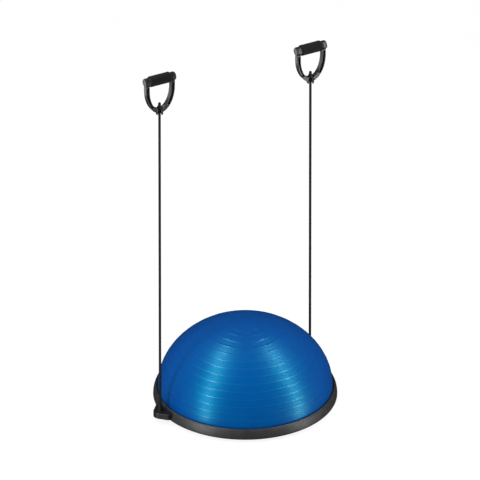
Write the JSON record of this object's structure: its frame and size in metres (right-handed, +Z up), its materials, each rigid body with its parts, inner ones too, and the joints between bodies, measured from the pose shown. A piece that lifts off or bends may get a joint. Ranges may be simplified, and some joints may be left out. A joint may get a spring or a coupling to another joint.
{
  "type": "balance dome trainer",
  "caption": "Inflated half-ball balance trainer on a round base, with elastic pull tubes that end in D-shaped handles with foam grips.",
  "frame": {"origin": "centre of the underside at floor level, on the dome's axis", "axes": "+Z up along the dome's axis; +X across the base from the left tube's side to the right tube's; +Y to the back, towards which both tubes sit a little"},
  "size_m": [0.7414, 0.6, 1.2893],
  "materials": {
    "dome_vinyl": "smooth satin vinyl with fine ridges around it",
    "rim_plastic": "satin, fine moulded grain",
    "platform_plastic": "moulded grain",
    "bracket_plastic": "satin",
    "black_rubber": "matt rubber",
    "tube_rubber": "smooth latex, slightly glossy",
    "handle_plastic": "satin, light wear on edges",
    "washer_plastic": "satin",
    "grip_foam": "fine open-pored foam",
    "valve_plastic": "smooth",
    "screw_steel": "zinc plated"
  },
  "bodies": {
    "base": {"base_platform": "platform_plastic", "base_rim": "rim_plastic", "non_slip_ring": "black_rubber", "rim_screws": "screw_steel", "dome": "dome_vinyl", "lip_seal": "black_rubber", "valve_seat": "black_rubber", "left_anchor_bracket": "bracket_plastic", "left_bracket_screws": "screw_steel", "left_tube_end_stop": "black_rubber", "left_tube_collar": "black_rubber", "left_tube_sleeve": "black_rubber", "left_tube": "tube_rubber", "right_anchor_bracket": "bracket_plastic", "right_bracket_screws": "screw_steel", "right_tube_end_stop": "black_rubber", "right_tube_collar": "black_rubber", "right_tube_sleeve": "black_rubber", "right_tube": "tube_rubber"},
    "valve_plug": {"valve_plug": "valve_plastic"},
    "left_tube_end": {"left_tube_stopper": "black_rubber"},
    "left_handle": {"left_handle_frame": "handle_plastic"},
    "left_grip": {"left_grip_core": "handle_plastic", "left_foam_grip": "grip_foam", "left_outer_grip_washer": "washer_plastic", "left_inner_grip_washer": "washer_plastic", "left_outer_grip_cap": "handle_plastic", "left_inner_grip_cap": "handle_plastic"},
    "right_tube_end": {"right_tube_stopper": "black_rubber"},
    "right_handle": {"right_handle_frame": "handle_plastic"},
    "right_grip": {"right_grip_core": "handle_plastic", "right_foam_grip": "grip_foam", "right_outer_grip_washer": "washer_plastic", "right_inner_grip_washer": "washer_plastic", "right_outer_grip_cap": "handle_plastic", "right_inner_grip_cap": "handle_plastic"}
  },
  "joints": [
    {"name": "valve_plug_pull", "type": "slide", "parent": "base", "child": "valve_plug", "axis": [0, 0, -1], "range_m": [0, 0.012]},
    {"name": "left_tube_stretch", "type": "slide", "parent": "base", "child": "left_tube_end", "axis": [0, 0, 1], "range_m": [0, 0.5], "stiffness_N_per_m": 100, "deforming": ["left_tube"]},
    {"name": "left_handle_swivel", "type": "hinge", "parent": "left_tube_end", "child": "left_handle", "pos_m": [-0.314, 0.052, 1.161], "axis": [0, 0, 1], "continuous": true},
    {"name": "left_grip_spin", "type": "hinge", "parent": "left_handle", "child": "left_grip", "pos_m": [-0.314, 0.052, 1.271], "axis": [0.9829, -0.184, 0], "continuous": true},
    {"name": "right_tube_stretch", "type": "slide", "parent": "base", "child": "right_tube_end", "axis": [0, 0, 1], "range_m": [0, 0.5], "stiffness_N_per_m": 100, "deforming": ["right_tube"]},
    {"name": "right_handle_swivel", "type": "hinge", "parent": "right_tube_end", "child": "right_handle", "pos_m": [0.314, 0.052, 1.057], "axis": [0, 0, 1], "continuous": true},
    {"name": "right_grip_spin", "type": "hinge", "parent": "right_handle", "child": "right_grip", "pos_m": [0.314, 0.052, 1.167], "axis": [0.9829, -0.184, 0], "continuous": true}
  ]
}
